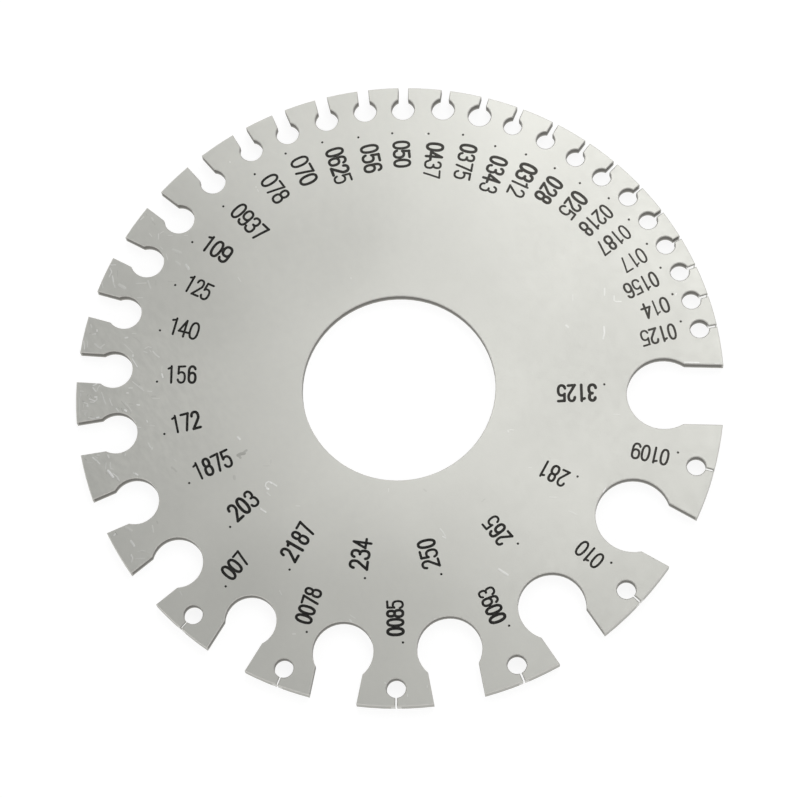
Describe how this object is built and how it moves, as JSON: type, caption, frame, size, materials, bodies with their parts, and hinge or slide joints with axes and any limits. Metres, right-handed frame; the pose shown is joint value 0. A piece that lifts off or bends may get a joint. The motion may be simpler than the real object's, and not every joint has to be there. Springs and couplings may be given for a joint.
{
  "type": "wire gauge plate",
  "caption": "Round flat steel wire and sheet gauge plate with graded keyhole notches in its rim and a central hole.",
  "frame": {"origin": "centre of the central hole at half the plate's thickness", "axes": "+Z out of the face marked with decimal sizes, +X along the middle line of the widest notch"},
  "size_m": [0.0823, 0.0824, 0.0016],
  "materials": {
    "steel": "satin"
  },
  "bodies": {
    "root": {"gauge_plate": "steel"}
  },
  "joints": []
}
